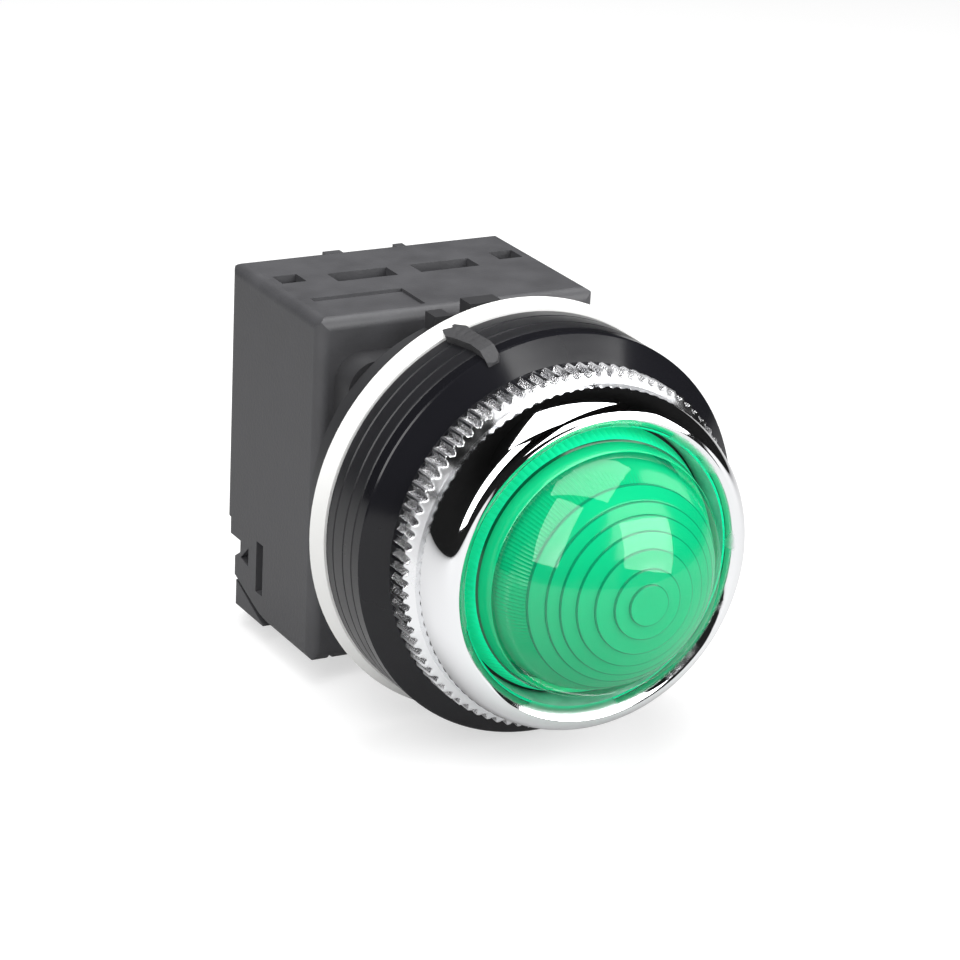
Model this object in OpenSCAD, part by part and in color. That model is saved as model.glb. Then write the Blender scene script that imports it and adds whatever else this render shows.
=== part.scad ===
// Panel pilot light for a 30.5 mm panel hole, with a screw-in dome lens, a knurled ring nut and a
// rear terminal box. The origin is on the lamp's axis in the plane of the shoulder that meets the
// back of the panel. -Y points to the viewer of the panel, +Z is up. Lengths are in millimetres.

/* [Panel neck] */
// Outside radius of the plain part of the neck that stands in the panel hole
neck_r = 15; // [14.5:0.1:15.2]
// Depth of the gap between the shoulder and the gasket, which takes the panel
panel_gap = 5; // [3:0.5:7]
// Outside radius of the thread on the neck
thread_r = 14.8; // [14.3:0.1:14.9]
// Depth of the thread
thread_depth = 0.6; // [0.3:0.1:0.8]
// Distance from one thread to the next
thread_pitch = 1.5; // [1:0.25:2]
// Radius of the shoulder that meets the back of the panel
shoulder_r = 17.5; // [16.5:0.5:19]
// Thickness of the shoulder
shoulder_t = 3; // [2:0.5:4]
// Length of the square boss between the shoulder and the box
boss_len = 3.2; // [2:0.2:8]
// Length of the locating nib on the neck
nib_len = 1.2; // [0.8:0.1:2]
// Width of the locating nib
nib_w = 4.6; // [3:0.1:5]
// How far the nib stands out of the neck
nib_h = 1.8; // [1:0.1:2]

/* [Ring stack] */
// Outside radius of the white gasket at its rear face
gasket_r = 21.5; // [20:0.1:24]
// How much smaller the gasket is at its front face
gasket_taper = 0.75; // [0:0.05:1.2]
// Thickness of the white gasket
gasket_t = 1.8; // [1:0.1:3]
// Outside radius of the black packing rings
packing_r = 20.55; // [19:0.05:21]
// Thickness of the first packing ring
packing_a_t = 1.6; // [1:0.1:3]
// Thickness of the second packing ring
packing_b_t = 2.1; // [1:0.1:3]
// Thickness of the third packing ring
packing_c_t = 1.8; // [1:0.1:3]
// Radial play between a ring and the thread of the neck
ring_play = 0.3; // [0.1:0.05:0.5]
// Bevel on the edges of a packing ring
packing_bevel = 0.14; // [0.05:0.01:0.3]
// Length of the straight side of the front washer
washer_side = 1.65; // [1:0.05:3]
// Length of the front washer's bevel
washer_bevel = 1.6; // [1:0.1:2.5]
// Radius of the front washer at the nut
washer_nose_r = 18.1; // [17:0.1:19]
// Width of the locating key that lies across the rings
key_w = 2.5; // [1.5:0.1:4]
// Thickness of the locating key
key_t = 0.8; // [0.5:0.1:1.2]
// Turn of the locating key from the top, to the left
key_turn = 21.7; // [0:0.1:60]

/* [Ring nut] */
// Outside radius of the knurled collar
knurl_r = 18.2; // [17:0.1:20]
// Length of the knurled collar
knurl_len = 3.4; // [2:0.1:6]
// Number of grooves round the collar
knurl_count = 92; // [60:2:120]
// Depth of the grooves
knurl_depth = 0.55; // [0.2:0.05:0.8]
// Radius of the smooth body in front of the collar
nut_body_r = 17.1; // [16.5:0.1:18]
// Length of the smooth body from the collar to the front rim
nut_body_len = 5.2; // [3:0.1:8]
// Radius of the front rim
nut_rim_r = 15.4; // [14.9:0.1:16.5]
// Length of thread that the tightened nut holds on
thread_hold = 3.85; // [3:0.05:5]
// Running clearance between the nut and the thread
nut_play = 0.08; // [0.04:0.01:0.1]
// Radial gap between the lens and the lip of the nut
lip_gap = 0.3; // [0.2:0.05:0.5]

/* [Lens] */
// Outside radius of the lens flange
lens_flange_r = 13.6; // [13.2:0.1:14]
// Thickness of the seal under the lens flange
seal_t = 0.6; // [0.5:0.1:1.5]
// Length of the straight edge of the lens flange
flange_edge = 0.4; // [0.3:0.05:1]
// Length of the sloping shoulder of the lens
flange_slope = 2.6; // [1:0.05:3]
// Radius of the dome
dome_r = 13; // [12:0.1:13.4]
// Distance from the foot of the flange to the centre of the dome
dome_rise = 0.8; // [0:0.1:2]
// Wall of the dome at its steps
dome_wall = 1.7; // [1.2:0.1:2.5]
// Number of steps inside the dome
dome_steps = 6; // [3:1:8]
// Radius of the middle disc inside the dome
dome_disc_r = 1.85; // [1:0.05:3]
// Outside radius of the lens skirt
skirt_r = 12.5; // [11.8:0.1:12.8]
// Wall of the lens skirt
skirt_wall = 1.1; // [0.8:0.1:1.6]
// Length of the lens skirt behind the flange
skirt_len = 7; // [4:0.5:9]
// Running clearance between the skirt and the neck
skirt_play = 0.06; // [0.03:0.01:0.1]

/* [Lamp and holder] */
// Radius of the lamp's metal base
base_r = 4.6; // [4:0.1:4.8]
// Length of the lamp's metal base
base_len = 13.5; // [10:0.5:16]
// Distance from the panel seat to the front of the lamp's base
base_front = 9; // [6:0.5:12]
// Radius of the lamp's clear cap
cap_r = 4.9; // [4.5:0.1:5.5]
// Length of the lamp's clear cap
cap_len = 10; // [8:0.5:12]
// Radius of a bayonet pin
pin_r = 0.95; // [0.6:0.05:1.1]
// How far a bayonet pin stands out of the base
pin_out = 1.1; // [0.8:0.1:1.4]
// Turn that frees the bayonet pins
bayonet_turn = 20; // [15:1:30]
// Length that the lamp can be pushed in
push_len = 1.2; // [0.8:0.1:1.6]
// Running clearance round the lamp base
base_play = 0.1; // [0.05:0.01:0.15]
// Wall of the socket shell
shell_wall = 0.4; // [0.3:0.05:0.6]
// Radius of the contact plunger's head
plunger_r = 2.6; // [2:0.1:2.8]
// Wire of the contact spring
spring_wire = 0.45; // [0.3:0.05:0.6]
// Turns of the contact spring
spring_turns = 4; // [3:1:5]
// Radius of the mouth in the reflector that the lamp stands in
reflector_mouth_r = 5.7; // [5.4:0.1:7]

/* [Box] */
// Width of the box
box_w = 31; // [30:0.5:40]
// Height of the box
box_h = 36.45; // [35:0.5:44]
// Depth of the box
box_d = 21; // [19:0.5:26]
// Height of the top of the box above the axis
box_top = 17.35; // [16.5:0.1:20]
// Wall of the box
wall = 1.6; // [1.4:0.1:2]
// Rounding of the box's edges
box_round = 1.2; // [0.6:0.1:1.4]
// Width of a long latch window
window_w = 6.75; // [5:0.25:7]
// Depth of a long latch window
window_d = 2.7; // [2:0.1:3.2]
// Distance from the middle of the box to the middle of a long window
window_x = 4.7; // [4.2:0.1:5.5]
// Width of a small window
small_window_w = 2.7; // [2:0.1:3]
// Distance from the middle of the box to the middle of a small window
small_window_x = 12.4; // [11:0.1:12.5]
// Distance from the back of the box to the back of a long window
window_back = 7.2; // [5.5:0.1:8]
// Width of the shallow label pocket
pocket_w = 10.2; // [6:0.2:12]
// Depth of the shallow label pocket into the wall
pocket_sink = 0.35; // [0.2:0.05:0.5]
// Height of the side slot
side_slot_h = 5.6; // [4:0.1:7]
// Width of the side slot
side_slot_w = 1.6; // [1:0.1:2]

/* [Terminals] */
// Distance from the axis to each terminal screw, sideways
terminal_x = 9; // [8.6:0.1:9.2]
// Width of a terminal well
well_w = 8.2; // [7.8:0.1:8.6]
// Height of a terminal well
well_h = 17; // [14:0.5:20]
// Depth of a terminal well
well_d = 7.4; // [6:0.2:8]
// Thickness of a terminal plate
plate_t = 0.9; // [0.6:0.1:1.2]
// Radius of a terminal screw's thread
screw_r = 1.7; // [1.4:0.1:1.9]
// Radius of a terminal screw's head
screw_head_r = 3.1; // [2.6:0.1:3.3]
// Height of a terminal screw's head
screw_head_h = 2; // [1.6:0.1:2.4]
// Side of a square clamp plate
clamp_w = 7; // [6.4:0.1:7.2]
// Thickness of a clamp plate
clamp_t = 0.9; // [0.6:0.1:1.2]
// Thickness of the cover's back plate between the wells and the inside of the box
cover_t = 1.4; // [1:0.1:2]
// How far the barrier ribs stand out of the back
rib_out = 1; // [0.5:0.1:2]

/* [Hidden] */

$fn = 96;
tiny = 0.01;      // overlap that makes one solid of two touching shapes
fit_gap = 0.1;    // gap round a piece that is held in a pocket
slack = 0.3;      // gap between two pieces that must not touch

// distances in front of the panel seat
gasket_rear = panel_gap;
packing_a_rear = gasket_rear + gasket_t;
packing_b_rear = packing_a_rear + packing_a_t;
packing_c_rear = packing_b_rear + packing_b_t;
washer_rear = packing_c_rear + packing_c_t;
nut_rear = washer_rear + washer_side + washer_bevel;
nut_collar_front = nut_rear + knurl_len;
nut_front = nut_collar_front + nut_body_len;
neck_front = nut_rear + thread_hold;
lens_foot = neck_front + seal_t;
dome_centre = lens_foot + dome_rise;
ring_bore_r = thread_r + ring_play;

// neck
neck_bore_r = skirt_r + skirt_play;
holder_bore_r = neck_bore_r - 1.5;
skirt_rear = lens_foot - skirt_len;
ledge = skirt_rear - 1.2;
boss_rear = -shoulder_t - boss_len;
boss_w = 27.4;
tail_r = 13.4;
assembly_at = 11.1;
assembly_r = 1.25;

// box
box_front = boss_rear;
box_back = box_front - box_d;
box_bottom = box_top - box_h;
inner_w = box_w - 2 * wall;
inner_top = box_top - wall;
inner_bottom = box_bottom + wall;
inner_front = box_front - wall;
window_rear = box_back + window_back;
small_window_rear = window_rear - 1;
foot_top = box_bottom + 3.3;
foot_rise = 0.35;
foot_groove = 0.6;
foot_back = box_back + 2.6;
notch_top = box_bottom + 9;

// lamp
insulator_t = 0.5;
base_rear = base_front - base_len;
insulator_rear = base_rear - insulator_t;
tip_rear = insulator_rear - 0.6;
pin_at = base_front - 4.8;
shell_bore_r = base_r + base_play;
shell_r = shell_bore_r + shell_wall;
shell_front = pin_at + 2.9;
shell_rear = base_rear - insulator_t - push_len - 0.2;
holder_front = 0.6;
holder_rear = boss_rear - 5.2;
lip_t = 0.4;
chamber_r = plunger_r + 0.3;
plunger_front = tip_rear;
plunger_nose_r = 1.7;
plunger_nose = 1.6;
plunger_t = 0.6;
disc_t = 0.4;
spring_front = plunger_front - plunger_nose - plunger_t;
spring_rear = holder_rear + disc_t;
spring_r = plunger_r - spring_wire / 2 - 0.25;

// terminals
well_floor = box_back + well_d;
clamp_rear = well_floor - plate_t;
screw_seat = clamp_rear - clamp_t;
terminal_z = inner_top - cover_t - well_h / 2 - 3.4;
board_t = 1.6;
board_rear = holder_rear - 2;
board_w = inner_w - 2;
board_h = inner_top - inner_bottom - 6.25;
board_z = (inner_top + inner_bottom) / 2;
board_low = board_z - board_h / 2;
board_high = board_z + board_h / 2;
live_z = -9;
neutral_z = 8.8;
leg_w = 2.4;
leg_z = terminal_z - well_h / 2 + leg_w / 2 + 0.3;

// Turns a shape so that its height runs forward, out of the panel.
module forward() {
    rotate([90, 0, 0])
        children();
}

// Turned piece with its profile given as [radius, distance in front of the seat].
module turned(profile) {
    forward()
        rotate_extrude()
            polygon(profile);
}

// Round bar or tube about the lamp axis, from one distance to another.
module round_bar(r, from, to, bore = 0) {
    forward()
        translate([0, 0, from])
            difference() {
                cylinder(r = r, h = to - from);
                if (bore > 0)
                    translate([0, 0, -1])
                        cylinder(r = bore, h = to - from + 2);
            }
}

// Block between two corners, each given as [x, distance in front of the seat, z].
module block(low, high) {
    translate([low[0], -high[1], low[2]])
        cube([high[0] - low[0], high[1] - low[1], high[2] - low[2]]);
}

// Rectangle with round corners, about the middle.
module round_rect(w, h, r) {
    square([w - 2 * r, h], center = true);
    square([w, h - 2 * r], center = true);
    for (sx = [-1, 1], sy = [-1, 1])
        translate([sx * (w / 2 - r), sy * (h / 2 - r)])
            circle(r = r, $fn = 48);
}

// Block with all its edges rounded, about the middle.
module round_box(w, d, h, r) {
    intersection() {
        forward()
            translate([0, 0, -d / 2])
                linear_extrude(d)
                    round_rect(w, h, r);
        rotate([90, 0, 90])
            translate([0, 0, -w / 2])
                linear_extrude(w)
                    round_rect(d, h, r);
        translate([0, 0, -h / 2])
            linear_extrude(h)
                round_rect(w, d, r);
    }
}

// ---- front of the panel ----

// Inside of the dome: flat steps that follow the outside at the dome's wall.
step_r = [for (i = [0:dome_steps]) dome_disc_r + i * (dome_r - dome_wall - 0.35 - dome_disc_r) / dome_steps];
function step_at(r) = dome_centre + sqrt(pow(dome_r - dome_wall, 2) - r * r);

module lens() {
    skirt_bore_r = skirt_r - skirt_wall;
    flange_front = lens_foot + flange_edge + flange_slope;
    foot_angle = acos((flange_front - dome_centre) / dome_r);
    dome = [for (i = [0:40]) let (a = foot_angle * (1 - i / 40))
        [dome_r * sin(a), dome_centre + dome_r * cos(a)]];
    steps = [for (i = [0:dome_steps]) each (i == 0
        ? [[0, step_at(step_r[1])], [step_r[0], step_at(step_r[1])], [step_r[0], step_at(step_r[1]) - 0.5]]
        : [[step_r[i], step_at(step_r[min(i, dome_steps)]) - 0.5],
           [step_r[i], step_at(step_r[min(i + 1, dome_steps)]) - 0.5 - (i == dome_steps ? 1 : 0)]])];
    color([0.05, 0.75, 0.4, 0.6])
        turned(concat(
            [[skirt_bore_r, skirt_rear], [skirt_r, skirt_rear], [skirt_r, lens_foot]],
            [[lens_flange_r, lens_foot], [lens_flange_r, lens_foot + flange_edge]],
            dome,
            steps,
            [[skirt_bore_r, step_at(step_r[dome_steps]) - 2.5]]));
}

module lens_seal() {
    color("dimgray")
        round_bar(lens_flange_r - 0.1, neck_front, lens_foot, skirt_r + skirt_play);
}

module ring_nut() {
    bore_r = thread_r + nut_play;
    lip_r = lens_flange_r + lip_gap;
    lip_rear = neck_front + slack;
    lip_front = lip_rear + 0.6;
    edge_w = 0.15;
    chamfer = 0.9;
    curve_rear = nut_collar_front + 1.1;
    curve = [for (i = [0:10]) let (a = 90 * i / 10)
        [nut_rim_r + (nut_body_r - nut_rim_r) * cos(a), curve_rear + (nut_front - curve_rear) * sin(a)]];
    groove_side = knurl_depth * 1.5;
    color("silver")
        difference() {
            turned(concat(
                [[bore_r, nut_rear], [knurl_r - 0.2, nut_rear], [knurl_r, nut_rear + 0.2]],
                [[knurl_r, nut_collar_front - 0.55], [knurl_r - chamfer, nut_collar_front]],
                [[nut_body_r, nut_collar_front]],
                curve,
                [[nut_rim_r - edge_w, nut_front - 0.05], [lip_r, lip_front], [lip_r, lip_rear]],
                [[bore_r, lip_rear]]));
            for (i = [0:knurl_count - 1])
                rotate([0, i * 360 / knurl_count, 0])
                    translate([0, 0, knurl_r])
                        rotate([0, 45, 0])
                            block([-groove_side / 2, nut_rear + 0.25, -groove_side / 2],
                                  [groove_side / 2, nut_collar_front + tiny, groove_side / 2]);
        }
}

module front_washer() {
    b = packing_bevel;
    side_front = washer_rear + washer_side;
    color([0.09, 0.09, 0.1])
        turned([
            [ring_bore_r, washer_rear], [packing_r - b, washer_rear], [packing_r, washer_rear + b],
            [packing_r, side_front - b], [packing_r - b, side_front],
            [washer_nose_r, nut_rear], [ring_bore_r, nut_rear]
        ]);
}

module packing_ring(rear, t) {
    b = packing_bevel;
    color([0.12, 0.12, 0.13])
        turned([
            [ring_bore_r, rear], [packing_r - b, rear], [packing_r, rear + b],
            [packing_r, rear + t - b], [packing_r - b, rear + t], [ring_bore_r, rear + t]
        ]);
}

module white_gasket() {
    color("white")
        turned([
            [ring_bore_r, gasket_rear], [gasket_r - 0.2, gasket_rear], [gasket_r, gasket_rear + 0.2],
            [gasket_r - gasket_taper, packing_a_rear], [ring_bore_r, packing_a_rear]
        ]);
}

// Tongue of the front washer: it lies back across the black rings, with a ragged pointed end.
module locating_key() {
    lift = 0.02;
    seat_r = packing_r + lift;
    crest_r = seat_r + key_t;
    gasket_seat_r = gasket_r - gasket_taper + 0.25;
    side_front = washer_rear + washer_side;
    hook = 0.5;
    fall = hook * (packing_r - washer_nose_r) / washer_bevel;
    outline = [
        [-0.31, -0.5], [-0.45, 0.9], [-0.3, 2.6], [-0.18, 4.8], [-0.22, 7.6], [0.12, 7.9], [0.38, 7.4],
        [0.45, 5.8], [0.4, 3.4], [0.46, 1], [0.3, 0.15], [0.22, -0.35], [0.1, -0.35], [0.04, 0.05]
    ];
    color([0.25, 0.25, 0.26])
        rotate([0, -key_turn, 0])
            intersection() {
                turned([
                    [gasket_seat_r, packing_a_rear - 0.6], [crest_r, packing_a_rear - 0.6],
                    [crest_r, side_front - 0.4], [crest_r - fall - 0.45, side_front + hook + 0.15],
                    [seat_r - fall, side_front + hook], [seat_r, side_front + lift],
                    [seat_r, packing_a_rear + lift], [gasket_seat_r, packing_a_rear + lift]
                ]);
                linear_extrude(packing_r * 2)
                    polygon([for (p = outline) [p[0] * key_w, -packing_a_rear - p[1]]]);
            }
}

// ---- operator body ----

module operator_body() {
    thread_rear = panel_gap - slack;
    thread_count = floor((neck_front - 0.6 - thread_rear) / thread_pitch);
    threads = [for (i = [0:thread_count - 1]) let (at = thread_rear + (i + 0.2) * thread_pitch) each [
        [thread_r, at], [thread_r - thread_depth, at + thread_pitch * 0.3],
        [thread_r, at + thread_pitch * 0.6]]];
    color([0.1, 0.1, 0.11])
        difference() {
            union() {
                turned(concat(
                    [[0, holder_rear], [tail_r, holder_rear], [tail_r, -shoulder_t]],
                    [[shoulder_r, -shoulder_t], [shoulder_r, 0], [neck_r, 0]],
                    [[neck_r, thread_rear], [thread_r, thread_rear]],
                    threads,
                    [[thread_r, neck_front - 0.4], [thread_r - 0.4, neck_front], [0, neck_front]]));
                forward()
                    translate([0, 0, boss_rear])
                        linear_extrude(boss_len + tiny)
                            round_rect(boss_w, boss_w, 3);
                block([-nib_w / 2, -tiny, neck_r - 1], [nib_w / 2, nib_len, neck_r + nib_h]);
                block([-1.8, -shoulder_t + tiny, shoulder_r - 2], [1.8, -0.8, shoulder_r + 1.7]);
                block([-5.6, -shoulder_t + tiny, shoulder_r - 3], [-3.8, -0.8, shoulder_r + 0.8]);
            }
            round_bar(neck_bore_r, ledge, neck_front + 1);
            round_bar(holder_bore_r, holder_rear - 1, ledge + tiny);
            for (s = [-1, 1])
                translate([s * assembly_at, 0, s * assembly_at])
                    round_bar(assembly_r, boss_rear - tiny, -1.2);
        }
}

// Two pan-head screws that hold the box on the boss.
module assembly_screws() {
    head_r = 2.3;
    color("lightgray")
        for (s = [-1, 1])
            translate([s * assembly_at, 0, s * assembly_at])
                difference() {
                    turned([
                        [0, inner_front - 1.8], [head_r - 0.5, inner_front - 1.8],
                        [head_r, inner_front - 1.2], [head_r, inner_front],
                        [assembly_r, inner_front], [assembly_r, -1.5], [0, -1.5]
                    ]);
                    for (a = [0, 90])
                        rotate([0, a, 0])
                            block([-1.3, inner_front - 2.5, -0.25], [1.3, inner_front - 0.9, 0.25]);
                }
}

// ---- box ----

// Side outline of the corner that the cover's foot fills, as [distance behind, height].
module foot_outline(grow) {
    polygon([
        [box_back - 2, foot_top + grow], [box_back + 1, foot_top + grow],
        [box_back + 9.9, box_bottom + grow * 1.6], [box_back + 9.9, box_bottom - 2],
        [box_back - 2, box_bottom - 2]
    ]);
}

// Sweeps an outline drawn as [distance, height] across the box.
module across(from, to) {
    translate([from, 0, 0])
        rotate([90, 0, 90])
            linear_extrude(to - from)
                mirror([1, 0])
                    children();
}

module housing() {
    mid = [0, -(box_front + box_back) / 2, (box_top + box_bottom) / 2];
    rear = box_back - 1;
    color([0.16, 0.16, 0.17])
        difference() {
            translate(mid)
                round_box(box_w, box_d, box_h, box_round);
            block([-inner_w / 2, rear, inner_bottom], [inner_w / 2, inner_front, inner_top]);
            round_bar(tail_r + fit_gap, inner_front - 1, box_front + 1);
            for (s = [-1, 1])
                translate([s * assembly_at, 0, s * assembly_at])
                    round_bar(assembly_r + 0.25, inner_front - 1, box_front + 1);
            for (s = [-1, 1])
                block([s * window_x - window_w / 2, window_rear, inner_top - 1],
                      [s * window_x + window_w / 2, window_rear + window_d, box_top + 1]);
            for (s = [-1, 1])
                block([s * small_window_x - small_window_w / 2, small_window_rear, inner_top - 1],
                      [s * small_window_x + small_window_w / 2, small_window_rear + 2.5, box_top + 1]);
            block([-inner_w / 2 + 0.65, box_front - 6.9, box_top - pocket_sink],
                  [-inner_w / 2 + 0.65 + pocket_w, box_front - 1.6, box_top + 1]);
            for (s = [-1, 1])
                translate([s * box_w / 2, 0, 0]) {
                    // tall slot, stepped back edge and small three-cornered recess
                    block([-wall - 1, box_back + 7.8, box_bottom + 3],
                          [wall + 1, box_back + 7.8 + side_slot_w, box_bottom + 3 + side_slot_h]);
                    across(-wall - 1, wall + 1)
                        polygon([
                            [rear, notch_top], [box_back + 1.4, notch_top],
                            [box_back + 1.4, notch_top - 1.8], [box_back + 4.3, notch_top - 1.8],
                            [box_back + 4.3, notch_top - 2.8], [foot_back, notch_top - 3.9],
                            [rear, notch_top - 3.9]
                        ]);
                    across(-0.7, 0.7)
                        polygon([
                            [box_back + 5.9, box_bottom + 7.1], [box_back + 5.9, box_bottom + 5],
                            [box_back + 4, box_bottom + 5.4]
                        ]);
                    across(-wall - 1, wall + 1)
                        polygon([
                            [rear, notch_top - 3.8], [foot_back, notch_top - 3.8],
                            [foot_back, box_bottom - 1], [rear, box_bottom - 1]
                        ]);
                }
            across(-box_w / 2 - 1, box_w / 2 + 1)
                foot_outline(foot_groove / 2);
            for (s = [-1, 1])
                block([s * 12.9 - 0.35, box_front - 3, box_bottom - 1],
                      [s * 12.9 + 0.35, box_front + 1, box_bottom + 0.6]);
        }
}

// Rear cover with the two terminal wells, its snap hooks and its two feet.
module rear_cover() {
    w = inner_w - 2 * fit_gap;
    low = inner_bottom + fit_gap;
    high = inner_top - fit_gap;
    front = well_floor + cover_t;
    hook_t = 1.1;
    color([0.14, 0.14, 0.15])
        difference() {
            union() {
                block([-w / 2, box_back + 0.2, low], [w / 2, front, high]);
                for (s = [-1, 1]) {
                    // hooks that reach into the long windows
                    block([s * window_x - 1.5, front - tiny, high - hook_t],
                          [s * window_x + 1.5, window_rear + window_d - 0.2, high]);
                    block([s * window_x - 0.9, window_rear + window_d - 1.2, high - tiny],
                          [s * window_x + 0.9, window_rear + window_d - 0.2, box_top - 0.5]);
                    // tabs that show in the small windows
                    block([s * small_window_x - 0.8, small_window_rear + 1, inner_top - 1.2],
                          [s * small_window_x + 0.6, small_window_rear + 2.2, box_top - 0.7]);
                }
                block([-w / 2, box_back + 0.2, box_bottom + 0.1], [w / 2, box_back + 2.6, low + 1]);
                intersection() {
                    across(-box_w / 2 + 0.2, box_w / 2 - 0.2)
                        foot_outline(-foot_groove / 2);
                    block([-box_w / 2, foot_back, box_bottom - foot_rise],
                          [box_w / 2, box_back + 9.4, foot_top + 1]);
                }
                intersection() {
                    across(-w / 2, w / 2)
                        foot_outline(foot_groove / 2 - 0.1);
                    block([-w / 2, box_back + 0.2, box_bottom], [w / 2, box_back + 9, foot_top + 1]);
                }
                // barrier ribs round the middle of the back
                for (rib = [[-4.65, -2.7], [3.5, 4.6]]) {
                    block([rib[0], box_back - rib_out, low + 2], [rib[1], box_back - 0.05, high + 1.35]);
                    block([rib[0], box_back - 0.1, low + 2], [rib[1], box_back + 0.3, high]);
                }
            }
            for (s = [-1, 1]) {
                block([s * terminal_x - well_w / 2, box_back - 3, terminal_z - well_h / 2],
                      [s * terminal_x + well_w / 2, well_floor, terminal_z + well_h / 2]);
                translate([s * terminal_x, 0, terminal_z])
                    round_bar(screw_r + slack, well_floor - 1, front + 2);
                block([s * terminal_x - leg_w / 2 - fit_gap, well_floor - 1, leg_z - leg_w / 2 - fit_gap],
                      [s * terminal_x + leg_w / 2 + fit_gap, front + 1, leg_z + leg_w / 2 + fit_gap]);
            }
            // hollow between the feet
            block([-w / 2 + 2, box_back + 2.6, box_bottom - 2], [w / 2 - 2, box_back + 12, low - tiny]);
        }
}

// ---- lamp and its holder ----

module reflector() {
    mouth = reflector_mouth_r;
    mouth_rear = base_front - 0.2;
    rim_r = neck_bore_r - fit_gap;
    color("whitesmoke")
        turned([
            [mouth, mouth_rear], [mouth + 0.8, mouth_rear], [holder_bore_r - 0.3, ledge],
            [rim_r, ledge], [rim_r, ledge + 1], [holder_bore_r - 0.6, ledge + 1],
            [mouth, mouth_rear + 1.4]
        ]);
}

module lamp_base() {
    color("gainsboro")
        union() {
            turned([
                [0, base_rear], [base_r - 0.6, base_rear], [base_r, base_rear + 0.6],
                [base_r, base_front - 0.5], [cap_r, base_front - 0.5], [cap_r, base_front],
                [0, base_front]
            ]);
            for (s = [-1, 1])
                translate([0, -pin_at, 0])
                    rotate([0, s * 90, 0])
                        cylinder(r = pin_r, h = base_r + pin_out, $fn = 32);
        }
}

module lamp_insulator() {
    color([0.05, 0.05, 0.05])
        turned([
            [0, insulator_rear], [2.2, insulator_rear], [base_r - 0.9, base_rear], [0, base_rear]
        ]);
}

module lamp_tip() {
    color("silver")
        turned([
            [0, tip_rear], [1, tip_rear], [1.5, insulator_rear - 0.3], [1.5, insulator_rear],
            [0, insulator_rear]
        ]);
}

module lamp_board() {
    color("seagreen")
        round_bar(cap_r - 1.1, base_front, base_front + 1);
}

// One chip in the middle and a ring of five round it.
module lamp_chips() {
    chip = 1.2;
    color("lemonchiffon")
        for (i = [0:5])
            rotate([0, i * 72, 0])
                translate([i == 5 ? 0 : 2.3, 0, 0])
                    block([-chip / 2, base_front + 1, -chip / 2], [chip / 2, base_front + 1.7, chip / 2]);
}

module lamp_cap() {
    cap_wall = 0.7;
    cyl = cap_len - cap_r;
    out = [for (i = [0:12]) let (a = 90 * i / 12) [cap_r * cos(a), base_front + cyl + cap_r * sin(a)]];
    in_r = cap_r - cap_wall;
    inner = [for (i = [12:-1:0]) let (a = 90 * i / 12) [in_r * cos(a), base_front + cyl + in_r * sin(a)]];
    color([0.9, 0.95, 0.95, 0.4])
        turned(concat([[in_r, base_front], [cap_r, base_front]], out, inner));
}

// Brass tube with two slots that the bayonet pins pass along and turn in.
module socket_shell() {
    slot = pin_r + 0.25;
    turn = bayonet_turn;
    lock_side = 14;
    color("goldenrod")
        difference() {
            round_bar(shell_r, shell_rear, shell_front, shell_bore_r);
            for (s = [0, 180]) {
                rotate([0, s - turn, 0])
                    block([0, pin_at - slot, -slot], [shell_r + 1, shell_front + 1, slot]);
                rotate([0, s + lock_side, 0])
                    translate([0, -(pin_at - slot - push_len), 0])
                        rotate([90, 0, 0])
                            rotate_extrude(angle = turn + lock_side)
                                translate([shell_bore_r - 1, 0])
                                    square([shell_wall + 2, 2 * slot + push_len]);
                rotate([0, s - turn, 0])
                    block([0, pin_at - slot - push_len, -slot], [shell_r + 1, pin_at + slot, slot]);
            }
        }
}

// Plastic block in the neck that holds the shell and the spring contact.
module socket_holder() {
    color("ivory")
        difference() {
            round_bar(holder_bore_r - fit_gap, holder_rear, holder_front);
            round_bar(shell_r + 0.05, shell_rear, holder_front + 1);
            round_bar(chamber_r, holder_rear - 1, shell_rear - lip_t);
            round_bar(plunger_nose_r + 0.1, holder_rear, shell_rear + 1);
            block([-1.6, holder_rear - 1, shell_r - 0.6], [1.6, holder_front + 1, shell_r + 0.6]);
        }
}

module contact_plunger() {
    stem_r = spring_r - spring_wire / 2 - 0.25;
    color("goldenrod")
        turned([
            [0, spring_front - 1.5], [stem_r, spring_front - 1.5], [stem_r, spring_front],
            [plunger_r, spring_front], [plunger_r, spring_front + plunger_t],
            [plunger_nose_r, spring_front + plunger_t], [plunger_nose_r, plunger_front - 0.3],
            [plunger_nose_r - 0.3, plunger_front], [0, plunger_front]
        ]);
}

// Points on the rim of the wire's section at one place along the helix.
function coil_ring(a, at, sides) = [for (k = [0:sides - 1]) let (b = 360 * k / sides,
    r = spring_r + spring_wire / 2 * cos(b))
    [r * cos(a), at + spring_wire / 2 * sin(b), r * sin(a)]];

module contact_spring() {
    sides = 8;
    per_turn = 20;
    count = spring_turns * per_turn;
    low = spring_rear + spring_wire / 2 + 0.02;
    high = spring_front - spring_wire / 2 - 0.02;
    points = [for (i = [0:count]) each coil_ring(360 * i / per_turn, low + (high - low) * i / count, sides)];
    skin = [for (i = [0:count - 1], k = [0:sides - 1]) let (n = (k + 1) % sides, a = i * sides)
        [a + k, a + n, a + sides + n, a + sides + k]];
    ends = [[for (k = [sides - 1:-1:0]) k], [for (k = [0:sides - 1]) count * sides + k]];
    color("silver")
        mirror([0, 1, 0])
            polyhedron(points = points, faces = concat(skin, ends), convexity = 6);
}

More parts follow.
